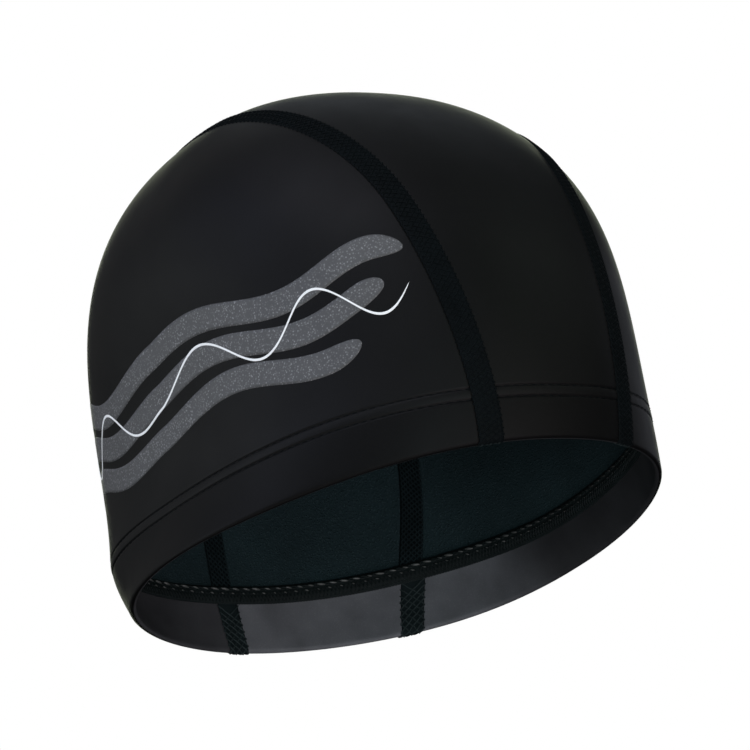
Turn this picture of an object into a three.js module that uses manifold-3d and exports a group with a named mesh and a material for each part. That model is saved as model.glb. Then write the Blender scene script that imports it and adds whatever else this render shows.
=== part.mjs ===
// A swim cap of coated stretch cloth: two side panels and a centre panel, joined by two flat seam bands.
// The cloth is folded in at the rim, and a stitched band covers the fold's raw edge inside.
// Millimetres, +Z up. The rim lies in z = 0, the front faces -Y and the wearer's right is -X.
import * as THREE from 'three';
import { mergeVertices } from 'three/addons/utils/BufferGeometryUtils.js';
import Module from 'manifold-3d';

const wasm = await Module();
wasm.setup();

// the rim, seen from above: an egg whose widest place lies behind its middle
const rimHalfWidth = 83;
const rimFrontReach = 110; // from the widest place to the front
const rimBackReach = 80; // from the widest place to the back
const widestBehind = (rimFrontReach - rimBackReach) / 2; // puts the rim's middle at the origin

// the crown
const crownHeight = 153;
const crownForward = 14.5; // how far the sections move to the front on the way up to the crown

// how each half size shrinks with height: a high power is a boxy wall, the swells are shares of the size
const profile = {
  width: { power: 2.85, midSwell: 0.181, lowSwell: -0.254 },
  front: { power: 2.13, midSwell: 0.035, lowSwell: 0.031 },
  back: { power: 2.42, midSwell: 0, lowSwell: 0.047 },
};

// how square the level sections are: 2 is an ellipse, more is squarer
const squareness = {
  front: { atRim: 2.19, atCrown: 2.2, middleExtra: 0.15 },
  back: { atRim: 2.69, atCrown: 2.79, middleExtra: 0.13 },
};

// cloth, hem and seams
const clothThickness = 1;
const hemThickness = 2.2; // two layers of cloth with the fold's air between them
const hemDepth = 20; // how far the cloth is folded up inside
const seamWidth = 8; // along the cloth
const seamProud = 0.3; // the threads' height above the cloth, outside and inside
const clearance = 0.3;

// how wear shifts the hem, an eighth of a turn apart, in shares of its depth:
// its edge leans out, or in below 0, and the fold's raw edge is drawn up, or down below 0
const wornHem = {
  front: { lean: 0.03, rise: -0.095 },
  frontLeft: { lean: -0.076, rise: -0.1 },
  left: { lean: -0.057, rise: -0.1 },
  backLeft: { lean: -0.29, rise: 0.175 },
  back: { lean: -0.004, rise: 0.125 },
  backRight: { lean: -0.436, rise: 0.225 },
  right: { lean: 0.056, rise: 0.185 },
  frontRight: { lean: -0.16, rise: 0.1 },
};

// the band of cover stitches on the fold's raw edge
const stitchBandThickness = 0.7;
const stitchBandBelowEdge = 5;
const stitchBandAboveEdge = 1.2;

// where the seams run, as shares of the rim's half width, from the middle plane to the wearer's left:
// at the front rim, the brow, the crown, the upper back and the back rim, an eighth of a turn apart
const seamPath = {
  right_seam: { frontRim: -0.313, brow: -0.431, crown: -0.53, upperBack: -0.13, backRim: -0.06 },
  left_seam: { frontRim: 0.311, brow: 0.402, crown: 0.712, upperBack: 0.744, backRim: 0.696 },
};

// fineness of the faceted surfaces
const columns = 64; // round the cap
const outerRows = 18; // rim to crown, outside
const innerRows = 14; // hem to crown, inside
const hemRows = 3;
const foldSteps = 4;
const seamSteps = 44; // front rim over the crown to the back rim

const colours = { coating: 0x1a1b1e, seam: 0x0d1114, stitching: 0x12171a };

// a half size at a share of the crown's height; each swell's formula peaks at 1
function halfSize(size, { power, midSwell, lowSwell }, up) {
  const swell = 1 + midSwell * 4 * up * (1 - up) + lowSwell * 6.75 * up * (1 - up) ** 2;
  return size * swell * (1 - up ** power) ** (1 / power);
}

// the level section at height z of the surface that lies `inset` inside the outer one
function sectionAt(inset, z) {
  const up = Math.min(Math.max(z / (crownHeight - inset), 0), 1);
  const half = (rimReach, shape, { atRim, atCrown, middleExtra }) => ({
    reach: halfSize(rimReach - inset, shape, up),
    power: atRim + (atCrown - atRim) * up + middleExtra * 4 * up * (1 - up),
  });
  return {
    middle: widestBehind - crownForward * up,
    halfWidth: halfSize(rimHalfWidth - inset, profile.width, up),
    front: half(rimFrontReach, profile.front, squareness.front),
    back: half(rimBackReach, profile.back, squareness.back),
  };
}

// a point of that section, `angle` round from the front
function surfacePoint(inset, z, angle) {
  const { middle, halfWidth, front, back } = sectionAt(inset, z);
  const { reach, power } = Math.cos(angle) > 0 ? front : back;
  const along = (v) => Math.sign(v) * Math.abs(v) ** (2 / power);
  return [halfWidth * along(Math.sin(angle)), middle - reach * along(Math.cos(angle)), z];
}

// how far the outer surface is from the left-right axis, at a place x on it and `turn` up from the front
function wallReach(x, turn) {
  let inside = 0;
  let outside = 2 * (rimFrontReach + crownHeight);
  for (let k = 0; k < 40; k++) {
    const reach = (inside + outside) / 2;
    const z = reach * Math.sin(turn);
    const { middle, halfWidth, front, back } = sectionAt(0, z);
    const y = -reach * Math.cos(turn) - middle;
    const half = y < 0 ? front : back;
    const level = (Math.abs(x) / halfWidth) ** half.power + (Math.abs(y) / half.reach) ** half.power;
    if (z < crownHeight && level < 1) inside = reach;
    else outside = reach;
  }
  return outside;
}

// a closed solid through rings of (inset, z) pairs; a pair on the crown becomes one pole point
function ringSolid(walk, closed) {
  const positions = [];
  const rings = walk.map(({ inset, z, pole }) => {
    const start = positions.length / 3;
    if (pole) {
      positions.push(0, widestBehind - crownForward, z);
      return Array(columns).fill(start);
    }
    for (let i = 0; i < columns; i++) {
      positions.push(...surfacePoint(inset, z, (2 * Math.PI * i) / columns));
    }
    return Array.from({ length: columns }, (_, i) => start + i);
  });
  const triangles = [];
  const spans = closed ? rings.length : rings.length - 1;
  for (let r = 0; r < spans; r++) {
    const upper = rings[r];
    const lower = rings[(r + 1) % rings.length];
    for (let i = 0; i < columns; i++) {
      const j = (i + 1) % columns;
      if (upper[i] !== upper[j]) triangles.push(upper[i], lower[i], upper[j]);
      if (lower[i] !== lower[j]) triangles.push(upper[j], lower[i], lower[j]);
    }
  }
  return solidFrom(positions, triangles);
}

function solidFrom(positions, triangles) {
  const geometry = new THREE.BufferGeometry();
  geometry.setAttribute('position', new THREE.Float32BufferAttribute(positions, 3));
  geometry.setIndex(triangles);
  const merged = mergeVertices(geometry, 1e-4);
  return new wasm.Manifold(new wasm.Mesh({
    numProp: 3,
    vertProperties: new Float32Array(merged.attributes.position.array),
    triVerts: new Uint32Array(merged.index.array),
  }));
}

// the whole cap as one shell, `proud` thicker on each face: down the outside, round the fold, up the inside
function capShell(proud) {
  const walk = [{ z: crownHeight + proud, pole: true }];
  const foldRadius = hemThickness / 2 + proud;
  const foldMiddle = hemThickness / 2;
  const climb = (share) => Math.sin((share * Math.PI) / 2);
  const outerTop = crownHeight + proud;
  for (let r = outerRows - 1; r >= 1; r--) {
    walk.push({ inset: -proud, z: foldMiddle + (outerTop - foldMiddle) * climb(r / outerRows) });
  }
  for (let k = 0; k <= foldSteps; k++) {
    const turn = (Math.PI * k) / foldSteps;
    walk.push({
      inset: foldMiddle - foldRadius * Math.cos(turn),
      z: foldMiddle - foldRadius * Math.sin(turn),
    });
  }
  for (let r = 1; r <= hemRows; r++) {
    walk.push({ inset: hemThickness + proud, z: foldMiddle + ((hemDepth - foldMiddle) * r) / hemRows });
  }
  const innerTop = crownHeight - clothThickness - proud;
  for (let r = 0; r < innerRows; r++) {
    walk.push({ inset: clothThickness + proud, z: hemDepth + (innerTop - hemDepth) * climb(r / innerRows) });
  }
  walk.push({ z: innerTop, pole: true });
  return ringSolid(walk, false);
}

// the slab that one seam fills less a gap on each side, from inside the hollow to outside the cloth
function seamSlab(path, gap) {
  const shares = new THREE.SplineCurve(Object.values(path).map((share, i) => new THREE.Vector2(i, share)));
  const reachPastWall = 5 * hemThickness;
  const overrun = (4 * hemThickness) / rimBackReach; // radians past the rim plane, to cut the fold too
  const positions = [];
  const triangles = [];
  for (let k = 0; k <= seamSteps; k++) {
    const turn = -overrun + ((Math.PI + 2 * overrun) * k) / seamSteps;
    const overHead = Math.min(Math.max(turn / Math.PI, 0), 1);
    const middle = rimHalfWidth * shares.getPoint(overHead).y;
    const wallAt = (x) => wallReach(x, Math.PI * overHead);
    const near = wallAt(middle) - reachPastWall;
    const far = wallAt(middle) + reachPastWall;
    const slope = (wallAt(middle + seamWidth / 4) - wallAt(middle - seamWidth / 4)) / (seamWidth / 2);
    const half = seamWidth / 2 / Math.hypot(1, slope) - gap;
    for (const [side, reach] of [[-1, near], [1, near], [1, far], [-1, far]]) {
      positions.push(middle + side * half, -reach * Math.cos(turn), reach * Math.sin(turn));
    }
    if (k === 0) continue;
    for (let e = 0; e < 4; e++) {
      const a = 4 * (k - 1) + e;
      const b = 4 * (k - 1) + ((e + 1) % 4);
      triangles.push(a, a + 4, b, b, a + 4, b + 4);
    }
  }
  const last = 4 * seamSteps;
  triangles.push(0, 1, 2, 0, 2, 3, last, last + 2, last + 1, last, last + 3, last + 2);
  return solidFrom(positions, triangles);
}

// the ring inside the hem: it hugs the hem's face and leans out over the raw edge to the lining
function stitchBand() {
  const onHem = hemThickness + seamProud + clearance;
  const onLining = clothThickness + seamProud + clearance;
  const low = hemDepth - stitchBandBelowEdge;
  const edge = hemDepth + clearance;
  const high = hemDepth + clearance + stitchBandAboveEdge;
  return ringSolid([
    { inset: onHem, z: low },
    { inset: onHem + stitchBandThickness, z: low },
    { inset: onHem + stitchBandThickness, z: edge },
    { inset: onLining + stitchBandThickness, z: high },
    { inset: onLining, z: high },
    { inset: onHem, z: edge },
  ], true);
}

// shifts the hem as the table says: the lean fades from the edge up, the rise up and down from the raw edge
const wornRound = new THREE.CatmullRomCurve3(
  Object.values(wornHem).map(({ lean, rise }) => new THREE.Vector3(lean, rise, 0)), true, 'catmullrom');
function worn(solid) {
  return solid.warp((point) => {
    const [x, y, z] = point;
    const fromMiddle = y - sectionAt(0, z).middle;
    const out = Math.hypot(x, fromMiddle);
    if (out === 0) return; // the crown's pole
    const up = z / hemDepth;
    const shift = wornRound.getPoint((Math.atan2(x, -fromMiddle) / (2 * Math.PI) + 1) % 1);
    const stretch = (shift.x * hemDepth * Math.max(1 - up, 0) ** 2) / out;
    point[0] += stretch * x;
    point[1] += stretch * fromMiddle;
    point[2] += shift.y * hemDepth * up * Math.exp(1 - up);
  });
}

function meshOf(name, solid, colour, roughness) {
  const { vertProperties, triVerts } = worn(solid).getMesh();
  const geometry = new THREE.BufferGeometry();
  geometry.setAttribute('position', new THREE.Float32BufferAttribute(vertProperties, 3));
  geometry.setIndex([...triVerts]);
  geometry.computeVertexNormals();
  const material = new THREE.MeshStandardMaterial({ color: colour, roughness, metalness: 0 });
  const mesh = new THREE.Mesh(geometry, material);
  mesh.name = name;
  return mesh;
}

const cap = new THREE.Group();

// the panels are what is left of the shell between the seams, in order from the wearer's right
let panels = capShell(0);
for (const path of Object.values(seamPath)) panels = panels.subtract(seamSlab(path, 0));
const middleX = (solid) => solid.boundingBox().min[0] + solid.boundingBox().max[0];
const panelNames = ['right_side_panel', 'centre_panel', 'left_side_panel'];
panels.decompose().sort((a, b) => middleX(a) - middleX(b)).forEach((panel, i) => {
  cap.add(meshOf(panelNames[i], panel, colours.coating, 0.55));
});

const seamShell = capShell(seamProud);
for (const [name, path] of Object.entries(seamPath)) {
  const band = seamShell.intersect(seamSlab(path, clearance));
  cap.add(meshOf(name, band, colours.seam, 0.85));
}

cap.add(meshOf('hem_stitch_band', stitchBand(), colours.stitching, 0.85));

export default cap;
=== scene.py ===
import math

import bpy
import numpy as np
from mathutils import Matrix, Vector


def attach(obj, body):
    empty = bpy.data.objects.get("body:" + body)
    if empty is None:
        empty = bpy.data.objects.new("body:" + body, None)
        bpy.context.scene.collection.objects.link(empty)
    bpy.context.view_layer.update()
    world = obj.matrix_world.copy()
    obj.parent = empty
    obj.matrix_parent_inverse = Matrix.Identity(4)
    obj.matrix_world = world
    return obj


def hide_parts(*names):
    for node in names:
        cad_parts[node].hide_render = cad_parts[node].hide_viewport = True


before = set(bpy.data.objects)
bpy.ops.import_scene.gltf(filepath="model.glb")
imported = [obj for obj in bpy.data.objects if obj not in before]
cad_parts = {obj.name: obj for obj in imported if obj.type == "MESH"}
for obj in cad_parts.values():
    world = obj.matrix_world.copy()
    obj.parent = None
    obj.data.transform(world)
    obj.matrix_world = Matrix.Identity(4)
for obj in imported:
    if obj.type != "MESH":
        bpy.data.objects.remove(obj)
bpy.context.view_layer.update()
scene = bpy.context.scene
mm = 0.001
print("frame loaded, nodes:", sorted(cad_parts))

# the cap's outer surface, in millimetres, as the part's source gives it
capForm = {
    "rimHalfWidth": 83, "rimFrontReach": 110, "rimBackReach": 80,
    "crownHeight": 153, "crownForward": 14.5,
    "width": {"power": 2.85, "midSwell": 0.181, "lowSwell": -0.254},
    "front": {"power": 2.13, "midSwell": 0.035, "lowSwell": 0.031,
              "atRim": 2.19, "atCrown": 2.2, "middleExtra": 0.15},
    "back": {"power": 2.42, "midSwell": 0, "lowSwell": 0.047,
             "atRim": 2.69, "atCrown": 2.79, "middleExtra": 0.13},
    "cloth": 1.0, "hemThick": 2.2, "hemDepth": 20,
}

# how wear shifts the hem, in shares of its depth, from the front by an eighth of a turn to the wearer's left
wornHem = {
    "lean": [0.03, -0.076, -0.057, -0.29, -0.004, -0.436, 0.056, -0.16],
    "rise": [-0.095, -0.1, -0.1, 0.175, 0.125, 0.225, 0.185, 0.1],
}

# seam middles as shares of the rim's half width, an eighth of a turn apart from front rim to back rim
seams = {
    "width": 7.8, "lap": 0.15, "proud": 0.14,
    "right": [-0.313, -0.431, -0.53, -0.13, -0.06],
    "left": [0.311, 0.402, 0.712, 0.744, 0.696],
}

widestBehind = (capForm["rimFrontReach"] - capForm["rimBackReach"]) / 2
farOut = 300.0  # further from the rim's middle than any place on the cap


def halfSize(rimSize, form, up):
    swell = 1 + form["midSwell"] * 4 * up * (1 - up) + form["lowSwell"] * 6.75 * up * (1 - up) ** 2
    return rimSize * swell * (1 - up ** form["power"]) ** (1 / form["power"])


def sectionAt(inset, z):
    up = np.clip(z / (capForm["crownHeight"] - inset), 0, 1)
    halves = []
    for key, rimReach in (("front", "rimFrontReach"), ("back", "rimBackReach")):
        form = capForm[key]
        power = form["atRim"] + (form["atCrown"] - form["atRim"]) * up + form["middleExtra"] * 4 * up * (1 - up)
        halves.append((halfSize(capForm[rimReach] - inset, form, up), power))
    halfWidth = halfSize(capForm["rimHalfWidth"] - inset, capForm["width"], up)
    return widestBehind - capForm["crownForward"] * up, halfWidth, halves[0], halves[1]


def surfacePoint(inset, z, angle):  # angle runs round from the front, to the wearer's left
    inset, z, angle = np.broadcast_arrays(inset, z, angle)
    middle, halfWidth, front, back = sectionAt(inset, z)
    isFront = np.cos(angle) > 0
    reach, power = np.where(isFront, front[0], back[0]), np.where(isFront, front[1], back[1])
    along = lambda v: np.sign(v) * np.abs(v) ** (2 / power)
    return np.stack([halfWidth * along(np.sin(angle)), middle - reach * along(np.cos(angle)), z], -1)


def wallPoint(inset, x, turn):  # the surface at a place x, turn up from the front rim over the crown
    inset, x, turn = np.broadcast_arrays(inset, x, turn)
    inside = np.zeros(x.shape)
    outside = np.full(x.shape, farOut)
    for _ in range(36):
        reach = (inside + outside) / 2
        y, z = -reach * np.cos(turn), reach * np.sin(turn)
        middle, halfWidth, front, back = sectionAt(inset, z)
        isFront = y < middle
        half, power = np.where(isFront, front[0], back[0]), np.where(isFront, front[1], back[1])
        level = (np.abs(x) / np.maximum(halfWidth, 1e-3)) ** power
        level = level + (np.abs(y - middle) / np.maximum(half, 1e-3)) ** power
        within = (level < 1) & (z < capForm["crownHeight"] - inset)
        inside, outside = np.where(within, reach, inside), np.where(within, outside, reach)
    return np.stack([x, -inside * np.cos(turn), inside * np.sin(turn)], -1)


def smoothThrough(p0, p1, p2, p3, t):  # from p1 to p2, as smooth curves run in the part's source
    v0, v1 = (p2 - p0) / 2, (p3 - p1) / 2
    return (2 * p1 - 2 * p2 + v0 + v1) * t ** 3 + (3 * p2 - 3 * p1 - 2 * v0 - v1) * t ** 2 + v0 * t + p1


def seamMiddle(side, turn):
    shares = np.array(seams[side]) * capForm["rimHalfWidth"]
    place = np.clip(np.asarray(turn) / np.pi, 0, 1) * (len(shares) - 1)
    at = np.minimum(place.astype(int), len(shares) - 2)
    last = len(shares) - 1
    return smoothThrough(shares[np.maximum(at - 1, 0)], shares[at], shares[at + 1],
                         shares[np.minimum(at + 2, last)], place - at)


turnTable = np.linspace(0, np.pi, 721)
sampleHalf = 2  # half the distance over which the cloth's slope across a seam is measured
acrossShare = {side: 2 * sampleHalf / np.linalg.norm(
    wallPoint(0, seamMiddle(side, turnTable) + sampleHalf, turnTable)
    - wallPoint(0, seamMiddle(side, turnTable) - sampleHalf, turnTable), axis=-1) for side in ("right", "left")}


def across(side, turn, distance):  # how far a distance along the cloth, across a seam, takes one in x
    return distance * np.interp(turn, turnTable, acrossShare[side])


def roundTheCap(values, angle):  # a smooth closed curve through values given at equal steps round the cap
    values = np.array(values)
    place = np.mod(np.asarray(angle) / (2 * np.pi), 1) * len(values)
    at = place.astype(int) % len(values)
    return smoothThrough(*(values[(at + k) % len(values)] for k in (-1, 0, 1, 2)), place - np.floor(place))


def fromMiddle(points):  # each point's direction round the cap, and how far out it is
    up = np.clip(points[..., 2] / capForm["crownHeight"], 0, 1)
    x, y = points[..., 0], points[..., 1] - (widestBehind - capForm["crownForward"] * up)
    return np.arctan2(x, -y), np.maximum(np.hypot(x, y), 1e-6), np.stack([x, y], -1)


def lengthsAlong(line):  # from the line's start to each of its points
    return np.concatenate([[0], np.cumsum(np.linalg.norm(np.diff(line, axis=0), axis=1))])


def movedOut(points, distance):
    angle, reach, way = fromMiddle(points)
    moved = points.copy()
    moved[..., :2] += way * (distance / reach)[..., None]
    return moved


def worn(points):  # the lean fades from the hem's edge up, the rise up and down from the raw edge
    depth, angle, up = capForm["hemDepth"], fromMiddle(points)[0], points[..., 2] / capForm["hemDepth"]
    moved = movedOut(points, roundTheCap(wornHem["lean"], angle) * depth * np.clip(1 - up, 0, None) ** 2)
    moved[..., 2] += roundTheCap(wornHem["rise"], angle) * depth * up * np.exp(1 - up)
    return moved


def lowPoint(inset, z, xAt, isBack):  # a point at height z where x depends on the turn
    middle, halfWidth, front, back = sectionAt(inset, z)
    half, power = back if isBack else front
    y = middle + (half if isBack else -half)
    for _ in range(6):
        x = xAt(np.arctan2(np.maximum(z, 0), -y))
        depth = np.maximum(1 - (np.abs(x) / halfWidth) ** power, 0) ** (1 / power)
        y = middle + (half if isBack else -half) * depth
    return np.stack(np.broadcast_arrays(x, y, z), -1)


# the hem's relief outside: two needle lines with a puffed strip between them, at a height that wanders
hem = {
    "needleLines": (14.5, 18.0), "grooveDepth": 0.45, "grooveHalf": 0.34, "puff": 0.12, "puffHalf": 1.1,
    "rise": [0, 2.3, 1.5, 0, 0, 0, 0, 0], "pucker": 0.18, "puckers": 176,
    "blendHeight": 24.5, "lowRows": 60, "foldRows": 9, "insideShare": 0.72, "edgeStep": 0.25,
    "closeRows": (21.5, 13.5), "closeShares": (0.08, 0.78),  # rows are closest together at the needle lines
}


def hemRelief(angle, z):  # how deep the cloth is pressed in
    low, high = hem["needleLines"]
    z = z - roundTheCap(hem["rise"], angle)
    groove = sum(np.exp(-((z - line) / hem["grooveHalf"]) ** 2) for line in (low, high))
    puff = np.exp(-((z - (low + high) / 2) / hem["puffHalf"]) ** 2)
    pucker = 1 + hem["pucker"] * np.cos(angle * hem["puckers"])
    return (hem["grooveDepth"] * groove - hem["puff"] * puff) * pucker


# mesh helpers
def meshPiece(name, points, faces, materials, faceSlots=None):
    mesh = bpy.data.meshes.new(name)
    sizes = np.concatenate([np.full(len(f), f.shape[1]) for f in faces])
    corners = np.concatenate([f.ravel() for f in faces]).astype(np.int32)
    mesh.vertices.add(len(points))
    mesh.vertices.foreach_set("co", (worn(np.asarray(points)) * mm).astype(np.float32).ravel())
    mesh.loops.add(len(corners))
    mesh.loops.foreach_set("vertex_index", corners)
    mesh.polygons.add(len(sizes))
    mesh.polygons.foreach_set("loop_start", np.concatenate([[0], np.cumsum(sizes)[:-1]]).astype(np.int32))
    for material in materials:
        mesh.materials.append(material)
    if faceSlots is not None:
        mesh.polygons.foreach_set("material_index", np.concatenate(faceSlots).astype(np.int32))
    mesh.update(calc_edges=True)
    mesh.polygons.foreach_set("use_smooth", np.ones(len(sizes), bool))
    mesh.validate()
    piece = bpy.data.objects.new(name, mesh)
    scene.collection.objects.link(piece)
    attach(piece, "root")
    return piece


def gridFaces(rows, columns, closed):
    r = np.arange(rows if closed else rows - 1)[:, None]
    c = np.arange(columns - 1)[None, :]
    a, b = r * columns + c, ((r + 1) % rows) * columns + c
    return np.stack([a, b, b + 1, a + 1], -1).reshape(-1, 4)


threadSides = 5


def tubes(paths, out, radius, sides=threadSides):  # many threads at once; out is where each surface faces
    paths, out = np.asarray(paths, float), np.asarray(out, float)
    count, steps = paths.shape[:2]
    along = np.gradient(paths, axis=1)
    along /= np.linalg.norm(along, axis=-1, keepdims=True) + 1e-9
    sideways = np.cross(along, out)
    sideways /= np.linalg.norm(sideways, axis=-1, keepdims=True) + 1e-9
    up = np.cross(sideways, along)
    turn = np.linspace(0, 2 * np.pi, sides, endpoint=False)[:, None]
    size = np.broadcast_to(np.asarray(radius, float), (count, steps))[:, :, None, None]
    rings = paths[:, :, None] + size * (np.cos(turn) * up[:, :, None] + np.sin(turn) * sideways[:, :, None])
    s = np.arange(steps - 1)[:, None]
    k = np.arange(sides)[None, :]
    one = np.stack([s * sides + k, s * sides + (k + 1) % sides,
                    (s + 1) * sides + (k + 1) % sides, (s + 1) * sides + k], -1).reshape(-1, 4)
    shift = (np.arange(count) * steps * sides)[:, None, None]
    ends = np.stack([np.arange(sides)[::-1], (steps - 1) * sides + np.arange(sides)])
    return rings.reshape(-1, 3), (one[None] + shift).reshape(-1, 4), (ends[None] + shift).reshape(-1, sides)


def joinedTubes(name, groups, materials, faceSlots=None):
    points, faces, start = [], [], 0
    for p, quads, ends in groups:
        points.append(p)
        faces += [quads + start, ends + start]
        start += len(p)
    return meshPiece(name, np.concatenate(points), faces, materials, faceSlots)


# materials: two shared effects as node groups, then one material for each finish
def newGroup(name, inputs, outputs):
    group = bpy.data.node_groups.new(name, "ShaderNodeTree")
    for label, value in inputs.items():
        socket = group.interface.new_socket(name=label, in_out="INPUT", socket_type="NodeSocketFloat")
        socket.default_value = value
    for label in outputs:
        group.interface.new_socket(name=label, in_out="OUTPUT", socket_type="NodeSocketFloat")
    return group, group.nodes.new("NodeGroupInput"), group.nodes.new("NodeGroupOutput")


def remap(tree, value, fromMin, fromMax, toMin, toMax):  # a value from one range to another
    node = tree.nodes.new("ShaderNodeMapRange")
    tree.links.new(value, node.inputs["Value"])
    for label, number in (("From Min", fromMin), ("From Max", fromMax), ("To Min", toMin), ("To Max", toMax)):
        node.inputs[label].default_value = number
    return node


def maths(tree, operation, *values):  # a maths node from sockets and numbers
    node = tree.nodes.new("ShaderNodeMath")
    node.operation = operation
    for socket, value in zip(node.inputs, values):
        if isinstance(value, bpy.types.NodeSocket):
            tree.links.new(value, socket)
        else:
            socket.default_value = value
    return node.outputs[0]


def perMillimetre(group, size):  # a texture's scale for features of a size in millimetres
    return maths(group, "DIVIDE", 1 / mm, size)


def makeClothGrain():  # fine grain for the bump, and soft patches in the tone
    group, given, result = newGroup("clothGrain", {"Grain Size": 0.5, "Patch Size": 25}, ("Height", "Patches"))
    place = group.nodes.new("ShaderNodeTexCoord")
    for size, detail, output in (("Grain Size", 3, "Height"), ("Patch Size", 4, "Patches")):
        noise = group.nodes.new("ShaderNodeTexNoise")
        noise.inputs["Detail"].default_value = detail
        group.links.new(place.outputs["Object"], noise.inputs["Vector"])
        group.links.new(perMillimetre(group, given.outputs[size]), noise.inputs["Scale"])
        group.links.new(noise.outputs["Fac"], result.inputs[output])
    return group


def makeSpecks():  # round specks of uneven brightness, for knit stitches and for the print's grain
    group, given, result = newGroup("specks", {"Speck Size": 0.7, "Fullness": 0.5}, ("Specks", "Uneven"))
    place = group.nodes.new("ShaderNodeTexCoord")
    cells = group.nodes.new("ShaderNodeTexVoronoi")
    group.links.new(place.outputs["Object"], cells.inputs["Vector"])
    group.links.new(perMillimetre(group, given.outputs["Speck Size"]), cells.inputs["Scale"])
    fade = remap(group, cells.outputs["Distance"], 0.1, 1, 1, 0)
    group.links.new(given.outputs["Fullness"], fade.inputs["From Max"])
    split = group.nodes.new("ShaderNodeSeparateColor")
    group.links.new(cells.outputs["Color"], split.inputs[0])
    group.links.new(fade.outputs[0], result.inputs["Specks"])
    group.links.new(split.outputs[0], result.inputs["Uneven"])
    return group


clothGrain, specks = makeClothGrain(), makeSpecks()
patchRange = 0.3, 0.7  # the part of the patches' noise that is used


def finish(name, look):  # a material from its own values: see the dictionaries below
    material = bpy.data.materials.new(name)
    material.use_nodes = True
    tree = material.node_tree
    nodes, links = tree.nodes, tree.links
    nodes.clear()
    shader = nodes.new("ShaderNodeBsdfPrincipled")
    links.new(shader.outputs["BSDF"], nodes.new("ShaderNodeOutputMaterial").inputs["Surface"])
    shader.inputs["Specular IOR Level"].default_value = look["gloss"]
    grain, dots = nodes.new("ShaderNodeGroup"), nodes.new("ShaderNodeGroup")
    grain.node_tree, dots.node_tree = clothGrain, specks
    grain.inputs["Grain Size"].default_value = look["grainSize"]
    grain.inputs["Patch Size"].default_value = look["patchSize"]
    dots.inputs["Speck Size"].default_value = look["speckSize"]
    dots.inputs["Fullness"].default_value = look["speckFullness"]

    depth = look["patchDepth"]
    tone = remap(tree, grain.outputs["Patches"], *patchRange, 1 - depth, 1 + depth).outputs[0]
    if "fade" in look:  # painted shade: darker towards the front
        place, split = nodes.new("ShaderNodeTexCoord"), nodes.new("ShaderNodeSeparateXYZ")
        links.new(place.outputs["Object"], split.inputs[0])
        fromY, toY, least = look["fade"]
        fade = remap(tree, split.outputs["Y"], fromY * mm, toY * mm, least, 1)
        fade.interpolation_type = "SMOOTHSTEP"
        tone = maths(tree, "MULTIPLY", tone, fade.outputs[0])
    mix = nodes.new("ShaderNodeMix")
    mix.data_type = "RGBA"
    links.new(maths(tree, "MULTIPLY", dots.outputs["Specks"], dots.outputs["Uneven"]), mix.inputs["Factor"])
    colourSockets = [k for k in mix.inputs if k.type == "RGBA"]
    for socket, colour in zip(colourSockets, (look["colour"], look["speckColour"])):
        socket.default_value = (*colour, 1)
    shade = nodes.new("ShaderNodeVectorMath")
    shade.operation = "SCALE"
    links.new([k for k in mix.outputs if k.type == "RGBA"][0], shade.inputs[0])
    links.new(tone, shade.inputs["Scale"])
    links.new(shade.outputs[0], shader.inputs["Base Color"])
    rough = remap(tree, grain.outputs["Patches"], *patchRange, *look["roughness"])
    links.new(rough.outputs[0], shader.inputs["Roughness"])

    height = maths(tree, "MULTIPLY_ADD", dots.outputs["Specks"], look["speckHeight"], grain.outputs["Height"])
    bump = nodes.new("ShaderNodeBump")
    bump.inputs["Strength"].default_value = look["bump"]
    bump.inputs["Distance"].default_value = look["bumpDepth"] * mm
    links.new(height, bump.inputs["Height"])
    links.new(bump.outputs[0], shader.inputs["Normal"])
    return material


coating = {
    "colour": (0.0012, 0.0012, 0.0013), "gloss": 0.13, "roughness": (0.48, 0.57),
    "grainSize": 0.35, "patchSize": 22, "patchDepth": 0.12, "bump": 0.35, "bumpDepth": 0.03,
    "speckSize": 0.5, "speckFullness": 0.45, "speckColour": (0.0045, 0.0045, 0.0050), "speckHeight": 0.3,
}
# a fade is from y, to y and the least share of the tone: painted shade, darker towards the front
# the hem's inside: painted light, a colour far brighter than the coating's, with painted shade towards the front
hemInside = dict(coating, colour=(0.085, 0.090, 0.099), speckColour=(0.116, 0.121, 0.132), patchDepth=0.2,
                 patchSize=14, gloss=0.15, fade=(16, 62, 0.2))
# the hem's inside on the wearer's right: dimmer painted light, a constant painted shade on that side
dimPaintedLightHemInside = dict(coating, colour=(0.030, 0.031, 0.034), speckColour=(0.045, 0.046, 0.050), patchDepth=0.2,
                    patchSize=14, gloss=0.15)
hemOutside = dict(coating, gloss=0.10)
lining = {
    "colour": (0.0100, 0.0200, 0.0230), "gloss": 0.08, "roughness": (0.85, 0.95),
    "grainSize": 0.6, "patchSize": 30, "patchDepth": 0.18, "bump": 0.9, "bumpDepth": 0.25,
    "speckSize": 0.75, "speckFullness": 0.55, "speckColour": (0.0240, 0.0410, 0.0450), "speckHeight": 1.2,
}
thread = {
    "colour": (0.0024, 0.0036, 0.0042), "gloss": 0.04, "roughness": (0.55, 0.7),
    "grainSize": 0.3, "patchSize": 8, "patchDepth": 0.2, "bump": 0.5, "bumpDepth": 0.08,
    "speckSize": 0.4, "speckFullness": 0.5, "speckColour": (0.0060, 0.0085, 0.0100), "speckHeight": 0.5,
}
# the seam's thread and ground on the hem's inside: brighter copies, painted light as on the hem
hemBandThreadPaintedLight = dict(thread, colour=(0.0130, 0.0205, 0.0215), speckColour=(0.030, 0.042, 0.042), gloss=0.12)
hemBandGroundPaintedLight = dict(thread, colour=(0.0065, 0.0105, 0.0115))
liningBandThread = dict(thread, colour=(0.0085, 0.0150, 0.0170), speckColour=(0.016, 0.026, 0.028))
bandGround = dict(thread, colour=(0.0020, 0.0040, 0.0050))
coverThread = dict(thread, colour=(0.0050, 0.0085, 0.0088), speckColour=(0.013, 0.019, 0.019), gloss=0.14)
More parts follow.
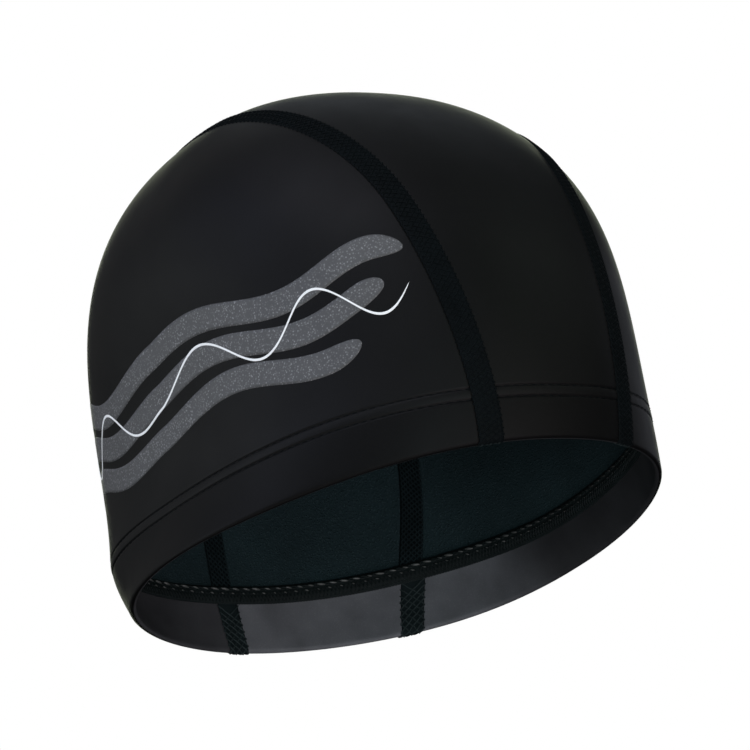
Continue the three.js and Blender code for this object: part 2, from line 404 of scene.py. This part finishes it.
# the knots: a bright colour as a painted glint, with painted shade towards the front
paintedGlintThread = dict(thread, colour=(0.046, 0.052, 0.050), speckColour=(0.10, 0.11, 0.11), gloss=0.6,
                   roughness=(0.3, 0.4), fade=(0, 45, 0.15))
greyInk = {
    "colour": (0.070, 0.070, 0.072), "gloss": 0.3, "roughness": (0.45, 0.6),
    "grainSize": 0.4, "patchSize": 10, "patchDepth": 0.1, "bump": 0.5, "bumpDepth": 0.05,
    "speckSize": 0.75, "speckFullness": 0.5, "speckColour": (0.25, 0.25, 0.255), "speckHeight": 0.8,
}
whiteInk = dict(greyInk, colour=(0.86, 0.86, 0.86), speckColour=(0.93, 0.93, 0.93), patchDepth=0.02)

coatedCloth = finish("coated_face", coating)
# painted light on the hem's inside, with painted shade towards the front
hemPaintedLightCloth = finish("folded_hem_painted_light", hemInside)
liningCloth = finish("knit_lining", lining)
# dimmer painted light on the right panel's hem inside
dimPaintedLightHemCloth = finish("folded_hem_in_shade", dimPaintedLightHemInside)
seamThread = finish("dull_thread", thread)
# painted light on the seam's thread where it lies on the hem's inside
hemBandYarnPaintedLight = finish("hem_band_thread_painted_light", hemBandThreadPaintedLight)
liningBandYarn = finish("lining_band_thread", liningBandThread)
stitchThread = finish("cover_thread", coverThread)
# the band's ground on the hem's inside has painted light
bandCloth, hemBandClothPaintedLight = finish("band_ground", bandGround), finish("hem_band_ground_painted_light", hemBandGroundPaintedLight)
# the knots' bright colour is a painted glint, darker towards the front as painted shade
paintedGlintYarn = finish("glossy_thread_painted_glint", paintedGlintThread)
hemOuterCloth = finish("hem_outside", hemOutside)
greyPrint = finish("grey_print", greyInk)
whitePrint = finish("white_print", whiteInk)
print("materials done")

# rows of cloth, down the outside, round the fold and up the inside, as (inset, height) pairs
foldMiddle = capForm["hemThick"] / 2
lowOuter = np.interp(np.linspace(0, 1, hem["lowRows"], endpoint=False)[1:],
                     [0, *hem["closeShares"], 1], [hem["blendHeight"], *hem["closeRows"], foldMiddle])
hemRows = round(hem["insideShare"] * len(lowOuter))
aboveEdge = capForm["hemDepth"] + hem["edgeStep"]
lowInner = np.concatenate([
    np.linspace(foldMiddle, capForm["hemDepth"], hemRows),
    np.linspace(aboveEdge, hem["blendHeight"], len(lowOuter) - hemRows + 1)[:-1],
])
lowInnerInset = np.where(lowInner > capForm["hemDepth"], capForm["cloth"], capForm["hemThick"])
foldTurn = np.linspace(0, np.pi, hem["foldRows"] + 2)[:-1]


def foldRing(proud):
    radius = foldMiddle + proud
    return foldMiddle - radius * np.cos(foldTurn), foldMiddle - radius * np.sin(foldTurn)


# which material each row has: 0 coated face, 1 lining, 2 the hem folded inside, its colour painted light, 3 the hem
# outside
lowKinds = np.concatenate([
    np.where(lowOuter > hem["needleLines"][0], 0, 3), np.full(len(foldTurn) // 2, 3),
    np.full(len(foldTurn) - len(foldTurn) // 2 + hemRows, 2), np.ones(len(lowInner) - hemRows, int)])


def lowWalk(proud):  # from below the blend height outside, round the fold, to below it inside
    foldInset, foldZ = foldRing(proud)
    inset = np.concatenate([0 * lowOuter - proud, foldInset, lowInnerInset + proud])
    return inset, np.concatenate([lowOuter, foldZ, lowInner])


def sewnIn(rows):  # presses the needle lines into the rows below the blend height
    return movedOut(rows, -hemRelief(fromMiddle(rows)[0], rows[..., 2]))


def stripOverHead(xAt, columns, highRows, proud):  # xAt gives x from the turn and the share across the strip
    share = np.linspace(0, 1, columns)[None, :]
    inset, z = lowWalk(proud)
    column = lambda turn: xAt(turn, share)
    fronts = lowPoint(inset[:, None], z[:, None], column, False)
    backs = lowPoint(inset[:, None], z[:, None], column, True)
    if proud == 0:
        for rows in (fronts, backs):
            rows[:len(lowOuter)] = sewnIn(rows[:len(lowOuter)])
    high = []
    for surface in (-proud, capForm["cloth"] + proud):
        start, stop = (lowPoint(np.full((1, 1), surface), np.full((1, 1), hem["blendHeight"]), column, isBack)[0]
                       for isBack in (False, True))
        startTurn, stopTurn = (np.arctan2(p[:, 2], -p[:, 1]) for p in (start, stop))
        turn = startTurn + (stopTurn - startTurn) * np.linspace(0, 1, highRows)[:, None]
        high.append(wallPoint(surface, xAt(turn, share), turn))
    # a closed walk: outside over the head, round the back fold, inside over the head, round the front fold
    return np.concatenate([high[0], backs, high[1][::-1], fronts[::-1]])


def closedStrip(name, xAt, columns, highRows, proud, materials):
    walk = stripOverHead(xAt, columns, highRows, proud)
    rows, lowCount, foldCount = len(walk), len(lowOuter), len(foldTurn)
    kinds = np.concatenate([np.zeros(highRows, int), lowKinds, np.ones(highRows, int), lowKinds[::-1]])
    faces, faceSlots = [gridFaces(rows, columns, True)], [np.repeat(kinds, columns - 1)]
    # the two cut edges: each outer row is joined to the inner row below it
    fronts, backs = rows - lowCount, highRows + lowCount
    outerRows = np.concatenate([np.arange(fronts, rows), np.arange(backs)])
    innerRows = np.arange(fronts - foldCount - 1, backs + foldCount - 1, -1)
    edge = np.stack([outerRows[:-1], outerRows[1:], innerRows[1:], innerRows[:-1]], -1)
    rings = [np.arange(start, stop)[None, :] for start, stop in (
        (backs - 1, backs + foldCount + 1), (fronts - foldCount - 1, fronts + 1))]
    for column, flip in ((0, False), (columns - 1, True)):
        for face in (edge, *rings):
            face = face * columns + column
            faces.append(face if flip else face[:, ::-1])
            faceSlots.append(np.zeros(len(face), int))
    return meshPiece(name, walk.reshape(-1, 3), faces, materials, faceSlots)


# how fine the pieces of cloth are
fineness = {
    "centreColumns": 110, "centreRows": 190, "sideColumns": 250, "sideRows": 96, "bandColumns": 9, "bandRows": 260,
    "edgeSearch": 1201, "rowSamples": 400, "trackSteps": 1801, "ringSteps": 2881,
}
# slot 2, the hem's inside, carries painted light: dimmer on the right panel, and on the seam bands as well
clothFaces = [coatedCloth, liningCloth, hemPaintedLightCloth, hemOuterCloth]
rightClothFaces = [coatedCloth, liningCloth, dimPaintedLightHemCloth, hemOuterCloth]
bandFaces = [seamThread, bandCloth, hemBandClothPaintedLight, seamThread]
halfBand = seams["width"] / 2
panelEdge = halfBand - seams["lap"]
centrePanel = closedStrip(
    "centre_panel_cloth",
    lambda turn, share: (seamMiddle("right", turn) + across("right", turn, panelEdge)) * (1 - share)
    + (seamMiddle("left", turn) - across("left", turn, panelEdge)) * share,
    fineness["centreColumns"], fineness["centreRows"], 0, clothFaces)
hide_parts("centre_panel")
print("centre panel:", len(centrePanel.data.polygons), "faces")


def sidePanel(name, side):
    sign = -1 if side == "right" else 1
    columns = fineness["sideColumns"]
    fine = np.linspace(0, np.pi, fineness["edgeSearch"])

    def inPanel(inset, z):  # how far each place round the section lies past the seam's edge
        points = surfacePoint(inset[:, None], z[:, None], sign * fine[None, :])
        turn = np.arctan2(z[:, None], -points[:, :, 1])
        return sign * points[:, :, 0] - (sign * seamMiddle(side, turn) + across(side, turn, panelEdge))

    def topOf(inset):  # the height where the panel ends in a point
        low, high = capForm["crownHeight"] * 0.4, capForm["crownHeight"] - inset - 0.5
        for _ in range(40):
            middle = (low + high) / 2
            reached = inPanel(np.array([inset]), np.array([middle])).max() > 0
            low, high = (middle, high) if reached else (low, middle)
        return low

    climb = np.linspace(1, 0, fineness["sideRows"]) ** 2  # closer together towards the top, where it narrows
    upper = lambda inset: topOf(inset) - (topOf(inset) - hem["blendHeight"]) * climb
    outerHigh, innerHigh = upper(0.0), upper(capForm["cloth"])
    inset, z = lowWalk(0)
    inset = np.concatenate([0 * outerHigh, inset, 0 * innerHigh + capForm["cloth"]])
    z = np.concatenate([outerHigh[::-1], z, innerHigh])
    past = inPanel(inset, z)
    walk = np.zeros((len(z), columns, 3))
    for row in range(len(z)):
        within = np.flatnonzero(past[row] > 0)
        if len(within) == 0:
            edges = [fine[past[row].argmax()]] * 2
        else:
            edges = []
            for at, other in ((within[0], within[0] - 1), (within[-1], min(within[-1] + 1, len(fine) - 1))):
                share = past[row, at] / (past[row, at] - past[row, other] + 1e-12)
                edges.append(fine[at] + (fine[other] - fine[at]) * np.clip(share, 0, 1))
        dense = np.linspace(edges[0], edges[1], fineness["rowSamples"])
        length = lengthsAlong(surfacePoint(inset[row], z[row], sign * dense))
        angle = np.interp(np.linspace(0, length[-1], columns), length, dense)
        walk[row] = surfacePoint(inset[row], z[row], sign * angle)
    lowRows = slice(len(outerHigh), len(outerHigh) + len(lowOuter))
    walk[lowRows] = sewnIn(walk[lowRows])
    rows = len(walk)
    quads = gridFaces(rows, columns, True)
    kinds = np.concatenate([0 * outerHigh, lowKinds, 0 * innerHigh + 1])
    half = (rows - len(foldTurn)) // 2
    faces, faceSlots = [quads if sign < 0 else quads[:, ::-1]], [np.repeat(kinds, columns - 1)]
    outerRows = np.arange(half)
    innerRows = rows - 1 - outerRows
    edge = np.stack([outerRows[:-1], outerRows[1:], innerRows[1:], innerRows[:-1]], -1)
    ring = np.arange(half - 1, half + len(foldTurn) + 1)[None, :]
    for column in (0, columns - 1):
        flip = (column == 0) == (sign < 0)
        for face in (edge, ring):
            face = face * columns + column
            faces.append(face[:, ::-1] if flip else face)
            faceSlots.append(np.zeros(len(face), int))
    # the right panel's hem inside takes the dimmer painted light
    cloths = rightClothFaces if side == "right" else clothFaces
    piece = meshPiece(name, walk.reshape(-1, 3), faces, cloths, faceSlots)
    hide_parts(side + "_side_panel")
    print(name + ":", len(piece.data.polygons), "faces")
    return piece


rightPanel = sidePanel("right_panel_cloth", "right")
leftPanel = sidePanel("left_panel_cloth", "left")


def seamBand(side):
    band = closedStrip(
        side + "_seam_band",
        lambda turn, share: seamMiddle(side, turn) + across(side, turn, halfBand) * (2 * share - 1),
        fineness["bandColumns"], fineness["bandRows"], seams["proud"], bandFaces)
    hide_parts(side + "_seam")


for side in ("right", "left"):
    seamBand(side)
print("seam bands done")

# threads of the flat seams: outside and on the hem they cross, on the lining they run in looped columns
stitches = {
    "pitch": 2.1, "reach": 4.2, "cross": 3, "radius": 0.24, "lift": 0.18, "weave": 0.11, "endDip": 0.18,
    "steps": 19, "hemInside": 15.5, "loopColumns": (-2.85, -0.95, 0.95, 2.85), "loopPitch": 1.9,
    "loopHalf": 0.75, "loopRadius": 0.24, "loopLift": 0.35, "loopWeave": 0.12, "loopAboveHem": 0.5,
    "loopSteps": 5, "loopSides": 4,
}


def bandTrack(side):  # length along the seam's middle outside, and where it meets the hem's rows
    turn = np.linspace(0, np.pi, fineness["trackSteps"])
    line = wallPoint(0.0, seamMiddle(side, turn), turn)
    length = lengthsAlong(line)
    half = len(line) // 2
    front = np.interp(hem["blendHeight"], line[:half, 2], length[:half])
    back = np.interp(hem["blendHeight"], line[half:, 2][::-1], length[half:][::-1])
    return turn, length, front, back


def onBand(side, track, s, v, lift):  # a place s along the seam, v across it and lift above the cloth
    turns, length, front, back = track
    shapeOut = np.broadcast(s, v, lift).shape
    s, v, lift = (a.ravel() for a in np.broadcast_arrays(s, v, lift))
    points = np.zeros((len(s), 3))
    high = (s >= front) & (s <= back)
    turn = np.interp(s[high], length, turns)
    points[high] = wallPoint(-lift[high], seamMiddle(side, turn) + across(side, turn, v[high]), turn)
    straight = hem["blendHeight"] - foldMiddle
    for mask, past, isBack in ((s < front, front - s, False), (s > back, s - back, True)):
        down, h, sideways = past[mask], lift[mask], v[mask]
        bend = (down - straight) / foldMiddle
        outside, folded = bend < 0, (bend >= 0) & (bend < np.pi)
        inset = np.where(outside, -h, np.where(folded, foldMiddle - (foldMiddle + h) * np.cos(bend),
                                               capForm["hemThick"] + h))
        z = np.where(outside, hem["blendHeight"] - down, np.where(
            folded, foldMiddle - (foldMiddle + h) * np.sin(bend), down - straight - (np.pi - 1) * foldMiddle))
        points[mask] = lowPoint(inset, z, lambda t: seamMiddle(side, t) + across(side, t, sideways), isBack)
    return points.reshape(*shapeOut, 3)


hollowMiddle = np.array([0, widestBehind - capForm["crownForward"] / 2, 40])


def outwards(points):  # roughly which way the cloth faces, for turning the threads' rings
    way = points - hollowMiddle
    return way / np.linalg.norm(way, axis=-1, keepdims=True)


def bandThreads(side):
    track = bandTrack(side)
    reachInside = hem["blendHeight"] + stitches["hemInside"] + foldMiddle
    start, stop = track[2] - reachInside, track[3] + reachInside
    row = np.arange(start, stop - stitches["cross"] * stitches["pitch"], stitches["pitch"])[:, None]
    step = np.linspace(0, 1, stitches["steps"])[None, :]
    fold = hem["blendHeight"] + (math.pi / 2 - 1) * foldMiddle  # how far past the blend height the fold's edge is
    groups, faceSlots = [], []
    for lean in (1, -1):
        s = row + stitches["cross"] * stitches["pitch"] * (step if lean > 0 else 1 - step)
        v = stitches["reach"] * (2 * step - 1)
        lift = stitches["lift"] + lean * stitches["weave"] * np.cos(2 * np.pi * stitches["cross"] * step)
        lift = lift - stitches["endDip"] * np.abs(2 * step - 1) ** 6
        points = onBand(side, track, s, v, lift)
        groups.append(tubes(points, outwards(points), stitches["radius"]))
        middle = (s[:, 1:] + s[:, :-1]) / 2
        isInside = (middle < track[2] - fold) | (middle > track[3] + fold)
        faceSlots += [np.repeat(isInside.astype(int).ravel(), threadSides), np.zeros(2 * len(s), int)]
    # threads on the hem's inside take the painted-light thread
    outer = joinedTubes(side + "_seam_cross_threads", groups, [seamThread, hemBandYarnPaintedLight], faceSlots)

    # the lining side
    turn = np.linspace(0, np.pi, fineness["trackSteps"])
    surface = capForm["cloth"]
    line = wallPoint(surface, seamMiddle(side, turn), turn)
    length = lengthsAlong(line)
    above = line[:, 2] > capForm["hemDepth"] + stitches["loopAboveHem"]
    s = np.arange(length[above][0], length[above][-1], stitches["loopPitch"] / stitches["loopSteps"])
    at = np.interp(s, length, turn)
    phase = np.pi * s / stitches["loopPitch"]
    paths = []
    for centre in stitches["loopColumns"]:
        for swing in (1, -1):
            v = centre + swing * stitches["loopHalf"] * np.sin(phase)
            lift = stitches["loopLift"] + swing * stitches["loopWeave"] * np.cos(phase)
            paths.append(wallPoint(surface + lift, seamMiddle(side, at) + across(side, at, v), at))
    paths = np.array(paths)
    loops = tubes(paths, outwards(paths), stitches["loopRadius"], stitches["loopSides"])
    inner = joinedTubes(side + "_seam_loop_threads", [loops], [liningBandYarn])
    print(side, "seam threads:", len(outer.data.polygons) + len(inner.data.polygons), "faces")


for side in ("right", "left"):
    bandThreads(side)

# the cover stitch's strip inside the hem
coverStrip = {
    "steps": 481,
    "section": [  # height, the cloth that it lies on, and how far it stands above that cloth's face
        (15.0, "hemThick", -0.1), (15.0, "hemThick", 0.3), (17.5, "hemThick", 0.45), (20.0, "hemThick", 0.4),
        (21.2, "cloth", 0.9), (21.3, "cloth", -0.05), (20.2, "hemThick", -0.1), (17.5, "hemThick", -0.1)],
    # the bed of its threads: heights and insets
    "bedHeights": (15.0, 15.5, 17.5, 20.0, 21.2), "bedInsets": (2.35, 2.55, 2.65, 2.55, 1.85),
}


def coverBand():
    angle = np.linspace(0, 2 * np.pi, coverStrip["steps"])
    z = np.array([height for height, _, _ in coverStrip["section"]])
    inset = np.array([capForm[cloth] + above for _, cloth, above in coverStrip["section"]])
    walk = surfacePoint(inset[:, None], z[:, None], angle[None, :])
    faces = gridFaces(len(z), len(angle), True)
    band = meshPiece("cover_stitch_strip", walk.reshape(-1, 3), [faces], [stitchThread])
    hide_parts("hem_stitch_band")


coverBand()


def ringTable(inset, z):  # length round the cap against the angle, at one height
    angle = np.linspace(-np.pi, np.pi, fineness["ringSteps"])
    return angle, lengthsAlong(surfacePoint(inset, z, angle))


coverThreads = {
    "pitch": 4.2, "radius": 0.26, "steps": 12, "ringInset": 2.4,
    # each thread's middle height and half swing, and how high it lies above the strip and weaves
    "braid": (17.0, 1.6, 0.2, 0.12), "chain": (19.9, 0.42, 0.2, 0.1), "edge": (15.25, 0.32, 0.12, 0.08),
    # knots, their brightness a painted glint: place along the pitch, length, radius, and the heights that each runs
    # between
    "knots": ((0.0, 2.3, 0.36, 19.55, 20.15), (0.55, 1.0, 0.2, 18.1, 18.5)),
    "knotLift": 0.42, "knotArch": 0.12, "knotUneven": 0.35, "unevenLift": 0.25, "knotSides": 6, "seed": 7,
}


def onStrip(table, s, z, lift):  # a place s along the strip, at a height, lifted off its threads' bed
    angle = np.interp(np.mod(s, table[1][-1]), table[1], table[0])
    return surfacePoint(np.interp(z, coverStrip["bedHeights"], coverStrip["bedInsets"]) + lift, z, angle)


def coverStitchThreads():
    table = ringTable(coverThreads["ringInset"], coverThreads["braid"][0])
    around = table[1][-1]
    repeats = round(around / coverThreads["pitch"])
    pitch = around / repeats
    s = np.linspace(0, around, repeats * coverThreads["steps"] + 1)
    wave = 2 * np.pi * s / pitch
    paths = []
    middle, half, lift, weave = coverThreads["braid"]
    for k in range(3):
        turn = wave + k * 2 * np.pi / 3
        paths.append(onStrip(table, s, middle + half * np.sin(turn), lift + weave * np.cos(2 * turn)))
    for swing in (1, -1):
        for key, turn in (("chain", wave), ("edge", 2 * wave)):
            middle, half, lift, weave = coverThreads[key]
            paths.append(onStrip(table, s, middle + swing * half * np.sin(turn), lift + swing * weave * np.cos(turn)))
    paths = np.array(paths)
    braids = [tubes(paths, -outwards(paths), coverThreads["radius"])]
    knots, chance = [], np.random.default_rng(coverThreads["seed"])
    step = np.linspace(0, 1, 7)[None, :]
    for offset, long, radius, z0, z1 in coverThreads["knots"]:
        start = (np.arange(repeats)[:, None] + offset) * pitch
        uneven = 1 + coverThreads["knotUneven"] * chance.uniform(-1, 1, (repeats, 1))
        lift = coverThreads["knotLift"] + coverThreads["unevenLift"] * (uneven - 1)
        lift = lift + coverThreads["knotArch"] * np.sin(np.pi * step)
        points = onStrip(table, start + long * uneven * step, z0 + (z1 - z0) * step, lift)
        taper = radius * uneven * np.sin(np.pi * np.clip(step, 0.06, 0.94)) ** 0.5
        knots.append(tubes(points, -outwards(points), np.broadcast_to(taper, points.shape[:2]),
                           coverThreads["knotSides"]))
    # the knots take the thread with the painted glint
    for name, groups, yarn in (("cover_stitch_threads", braids, stitchThread),
                               ("cover_stitch_knots", knots, paintedGlintYarn)):
        piece = joinedTubes(name, groups, [yarn])
        print(name + ":", len(piece.data.polygons), "faces")


coverStitchThreads()

needleStitches = {"pitch": 3.1, "length": 2.5, "radius": 0.17, "proud": 0.02, "endDip": 0.16}


def needleLineStitches():
    groups = []
    for line in hem["needleLines"]:
        table = ringTable(0.0, line)
        count = round(table[1][-1] / needleStitches["pitch"])
        start = np.arange(count)[:, None] * table[1][-1] / count
        step = np.linspace(0, 1, 6)[None, :]
        angle = np.interp(start + needleStitches["length"] * step, table[1], table[0])
        z = line + roundTheCap(hem["rise"], angle)
        points = surfacePoint(needleStitches["endDip"] * (2 * step - 1) ** 4 - needleStitches["proud"], z, angle)
        points = movedOut(points, -hemRelief(fromMiddle(points)[0], z))
        taper = needleStitches["radius"] * np.sin(np.pi * np.clip(step, 0.1, 0.9)) ** 0.5
        groups.append(tubes(points, outwards(points), np.broadcast_to(taper, points.shape[:2])))
    piece = joinedTubes("hem_needle_stitches", groups, [seamThread])


needleLineStitches()
print("stitches done")

# a plain printed band of waves on the wearer's right side
waves = {
    "from": -28.5, "to": -150, "steps": 420, "rows": 9, "proud": 0.06, "lineProud": 0.15, "sunk": 0.05, "taper": 0.06,
    "ribbons": [  # middle height, half width, swing, waves along the band, shift, where it starts and stops
        (66.0, 4.3, 4.0, 2.6, 0.10, 0.00, 0.90), (53.5, 4.3, 4.0, 2.6, 0.16, 0.06, 0.97),
        (41.0, 4.3, 4.0, 2.6, 0.22, 0.13, 1.00)],
    "lines": [(54.5, 0.42, 7.5, 4.3, 0.42, 0.015, 0.93)],
}


def printedRibbon(name, ink, proud, middle, half, swing, count, shift, start, stop):
    t = np.linspace(start, stop, waves["steps"])
    angle = np.radians(waves["from"] + (waves["to"] - waves["from"]) * t)
    centre = middle + swing * np.sin(2 * np.pi * (count * t + shift))
    fromEnd = np.minimum(t - start, stop - t) / waves["taper"]
    width = half * np.sqrt(np.clip(fromEnd, 0.0005, 1) * (2 - np.clip(fromEnd, 0, 1)))
    z = centre + width * np.linspace(-1, 1, waves["rows"])[:, None]
    face = surfacePoint(-proud, z, angle)
    back = surfacePoint(waves["sunk"], z[::-1], angle)
    rows = np.concatenate([face, back])
    ends = np.arange(len(rows)) * waves["steps"]
    faces = [gridFaces(len(rows), waves["steps"], True)[:, ::-1], ends[None, :],
             ends[None, ::-1] + waves["steps"] - 1]
    piece = meshPiece(name, rows.reshape(-1, 3), faces, [ink])
    return piece


printPieces = [printedRibbon(f"printed_{kind}_{k + 1}", ink, proud, *values)
               for kind, ink, proud, key in (("wave", greyPrint, waves["proud"], "ribbons"),
                                             ("line", whitePrint, waves["lineProud"], "lines"))
               for k, values in enumerate(waves[key])]
print("print done")

# camera, fitted to the photograph
camera = {
    "azimuth": -37.61, "elevation": -18.956, "roll": -12.816, "distance": 2.4,
    "focalPixels": 7300.67, "imagePixels": 750, "sensor": 36, "target": (0.01633, 0.0150, 0.06773),
}


def makeCamera():
    azimuth, elevation, roll = (math.radians(camera[k]) for k in ("azimuth", "elevation", "roll"))
    back = Vector((math.sin(azimuth) * math.cos(elevation), -math.cos(azimuth) * math.cos(elevation),
                   math.sin(elevation)))
    right = (-back).cross(Vector((0, 0, 1))).normalized()
    up = right.cross(-back)
    right, up = right * math.cos(roll) + up * math.sin(roll), up * math.cos(roll) - right * math.sin(roll)
    data = bpy.data.cameras.new("photo_camera")
    data.sensor_width = camera["sensor"]
    data.lens = camera["focalPixels"] * camera["sensor"] / camera["imagePixels"]
    data.clip_start, data.clip_end = 0.1, 60
    view = bpy.data.objects.new("photo_camera", data)
    scene.collection.objects.link(view)
    place = Vector(camera["target"]) + back * camera["distance"]
    view.matrix_world = Matrix((
        (right.x, up.x, back.x, place.x), (right.y, up.y, back.y, place.y),
        (right.z, up.z, back.z, place.z), (0, 0, 0, 1)))
    scene.camera = view
    return right, up, back


viewRight, viewUp, viewBack = makeCamera()
scene.view_settings.view_transform = "Standard"

# studio: softboxes round the cap, each as (to the camera's right, up, towards the camera) and watts of each colour
studio = {
    "middle": (0, 0, 0.07), "distance": 1.3, "size": 0.9,
    "lights": {
        "behind": ((0, 0, -1), (7.4, 8.1, 6.0)), "above_front": ((-0.4, 1, 0.4), (6.3, 6.4, 7.5)),
        "front": ((0, 0, 1), (5.1, 6.0, 6.2)), "front_right": ((1, 0, 1), (4.6, 4.4, 4.3)),
        "left": ((-1, 0, 0), (3.4, 3.6, 3.6)), "upper_left": ((-1, 0.5, 0.3), (2.4, 2.6, 3.7)),
        "low_front": ((0.5, -0.6, 1), (3.0, 2.3, 2.6)), "behind_right": ((1, 0, -1), (1.2, 1.25, 1.4)),
        "upper_right": ((1, 1, 0), (1.7, 1.9, 1.8)), "behind_above": ((0, 1, -1), (1.1, 1.2, 1.3)),
        "upper_left_front": ((-1, 1, 1), (1.3, 1.4, 1.3)), "upper_right_front": ((1, 1, 1), (0.8, 1.1, 0.8)),
        "behind_upper_left": ((-1, 1, -1), (0.8, 0.8, 0.8)), "above": ((0, 1, 0), (0.7, 0.7, 0.7)),
        "behind_left": ((-1, 0, -1), (0.5, 0.5, 0.5)), "low_left_front": ((-1, -1, 1), (2.2, 2.2, 2.2)),
        "below_front": ((0, -1, 1), (1.9, 1.9, 1.9)),
    },
}


def makeStudio():
    for name, (place, watts) in studio["lights"].items():
        data = bpy.data.lights.new(name, "AREA")
        data.shape = "SQUARE"
        data.size = studio["size"]
        data.energy = max(watts)
        data.color = [w / max(watts) for w in watts]
        light = bpy.data.objects.new(name, data)
        way = (viewRight * place[0] + viewUp * place[1] + viewBack * place[2]).normalized()
        light.location = Vector(studio["middle"]) + way * studio["distance"]
        light.rotation_mode = "QUATERNION"
        light.rotation_quaternion = way.to_track_quat("Z", "Y")
        light.visible_camera = False
        scene.collection.objects.link(light)
    world = bpy.data.worlds.new("white_studio")
    scene.world = world
    world.use_nodes = True
    nodes, links = world.node_tree.nodes, world.node_tree.links
    nodes.clear()
    # the white backdrop is only seen, and gives no light of its own
    seen, unlit = nodes.new("ShaderNodeBackground"), nodes.new("ShaderNodeBackground")
    seen.inputs["Color"].default_value = (1, 1, 1, 1)
    unlit.inputs["Strength"].default_value = 0
    path, mix = nodes.new("ShaderNodeLightPath"), nodes.new("ShaderNodeMixShader")
    links.new(path.outputs["Is Camera Ray"], mix.inputs["Fac"])
    links.new(unlit.outputs[0], mix.inputs[1])
    links.new(seen.outputs[0], mix.inputs[2])
    links.new(mix.outputs[0], nodes.new("ShaderNodeOutputWorld").inputs["Surface"])


makeStudio()

floor = {"height": -3.2, "size": 14.0}  # far below, so that it isn't between the cap and a view from below


def makeFloor():
    half = floor["size"] / 2
    mesh = bpy.data.meshes.new("pale_floor")
    mesh.from_pydata([(-half, -half, 0), (half, -half, 0), (half, half, 0), (-half, half, 0)], [], [(0, 1, 2, 3)])
    plane = bpy.data.objects.new("pale_floor", mesh)
    plane.location = (0, 0, floor["height"])
    scene.collection.objects.link(plane)
    mesh.materials.append(finish("pale_floor", dict(
        greyInk, colour=(0.86, 0.86, 0.85), speckColour=(0.88, 0.88, 0.87), roughness=(0.8, 0.9), patchDepth=0.01)))


makeFloor()

# the panels' flat cuts, as (width, length, area): a tenth smaller each way than worn, with 20 mm more for each fold
flatCuts = {
    "centre": (centrePanel, 0.100, 0.412, 0.0270, []),
    "right": (rightPanel, 0.235, 0.165, 0.0298, printPieces),
    "left": (leftPanel, 0.185, 0.147, 0.0213, []),
}
for name, (panel, width, length, area, onIt) in flatCuts.items():
    mesh = panel.data
    surface = sum(face.area for face in mesh.polygons) / 2
    print(f"{name} panel: half its surface {surface:.4f} m2, flat {area:.4f} m2")
